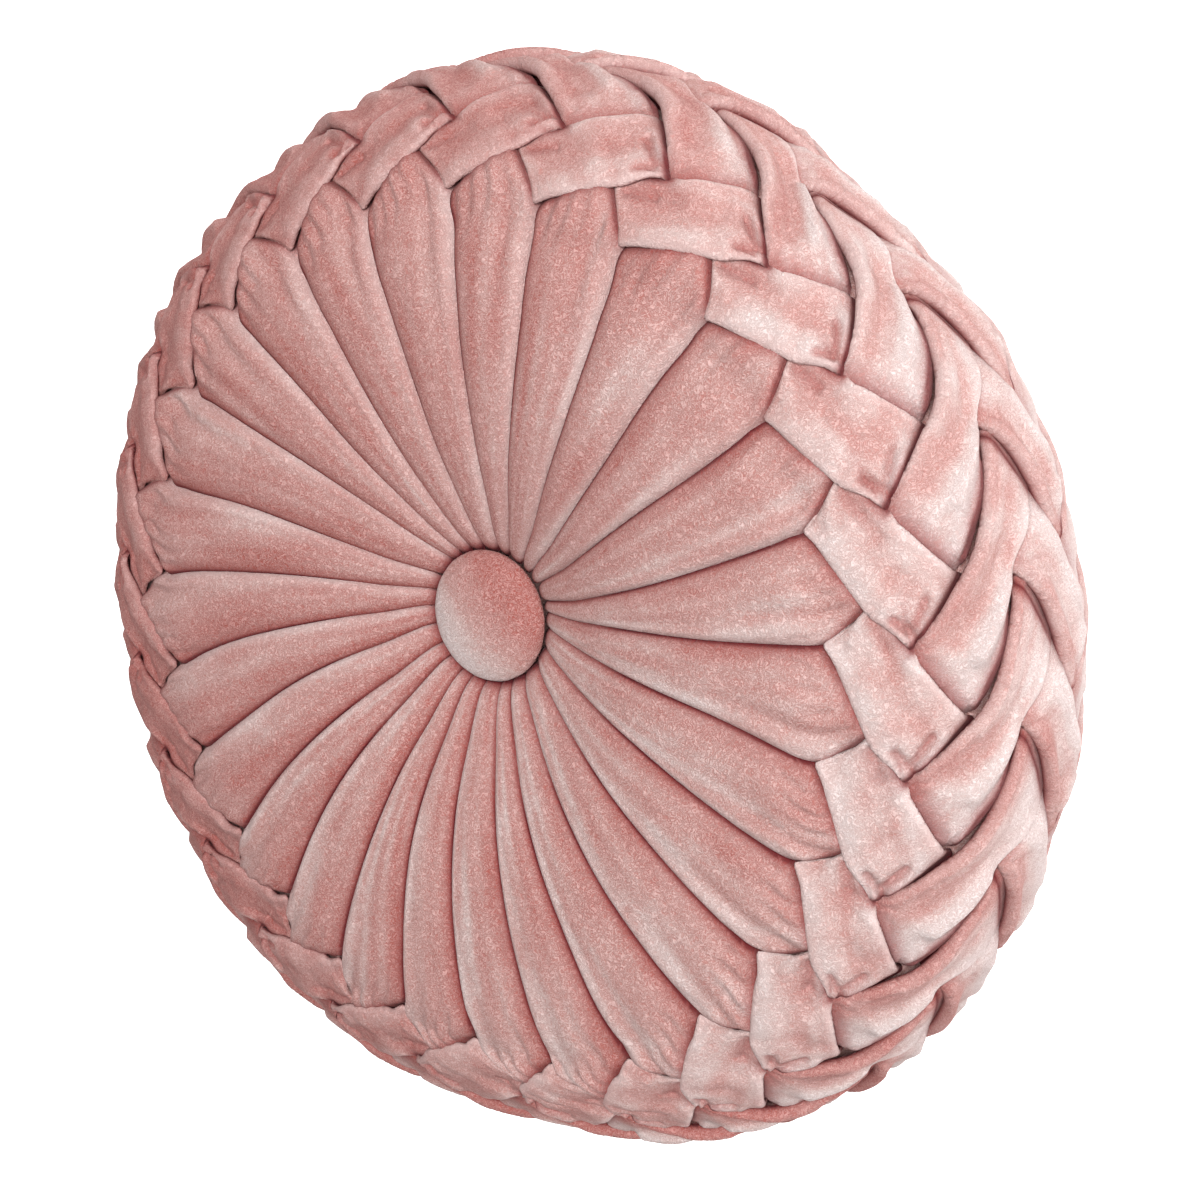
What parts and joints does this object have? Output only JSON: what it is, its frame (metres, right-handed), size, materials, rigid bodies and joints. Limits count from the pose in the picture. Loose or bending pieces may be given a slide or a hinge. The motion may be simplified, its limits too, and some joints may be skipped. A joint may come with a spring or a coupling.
{
  "type": "round pleated cushion",
  "caption": "Round filled cushion with radial pleats gathered under a covered button on each face and a braid of smocked folds round its side.",
  "frame": {"origin": "centre of the round outline on the plane that the cushion's back lies on", "axes": "+Z out of the front face, along the cushion's axis; the cushion is round, so +X and +Y lie across it"},
  "size_m": [0.3826, 0.3826, 0.1168],
  "materials": {
    "cover_velvet": "dusty pink short-pile velvet, matt with a soft sheen at grazing angles",
    "button_velvet": "the same dusty pink velvet, stretched smooth over a domed button"
  },
  "bodies": {
    "root": {"cushion_cover": "cover_velvet", "front_button": "button_velvet", "back_button": "button_velvet"}
  },
  "joints": []
}
